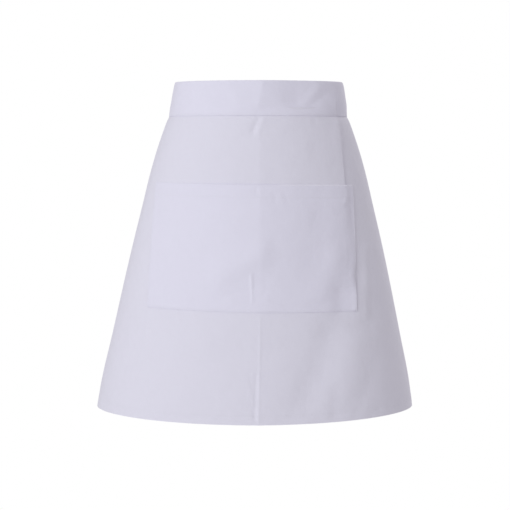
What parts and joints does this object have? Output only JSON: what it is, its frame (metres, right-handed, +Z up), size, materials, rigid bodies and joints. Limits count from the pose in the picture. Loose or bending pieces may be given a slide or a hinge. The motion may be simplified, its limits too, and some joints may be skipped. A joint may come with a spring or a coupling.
{
  "type": "waist apron",
  "caption": "Plain white cotton waist apron with a wide waistband, an A-line skirt, a wide patch pocket and back ties, in its worn form.",
  "frame": {"origin": "centre of the waist that the apron is tied round, at half the waistband's height", "axes": "+Z up, -Y to the front where the pocket is, +X to the side with the pleat"},
  "size_m": [0.4711, 0.2565, 0.483],
  "materials": {
    "cotton_panel": "matt white cotton twill",
    "cotton_band": "matt white cotton twill, folded double and pressed",
    "cotton_pocket": "matt white cotton twill with a turned and stitched mouth",
    "cotton_tie": "matt white cotton twill strap, stitched along its edges"
  },
  "bodies": {
    "root": {"skirt_panel": "cotton_panel", "waistband": "cotton_band", "pocket": "cotton_pocket", "left_tie": "cotton_tie", "right_tie": "cotton_tie", "left_tail": "cotton_tie", "right_tail": "cotton_tie", "knot": "cotton_tie"}
  },
  "joints": []
}
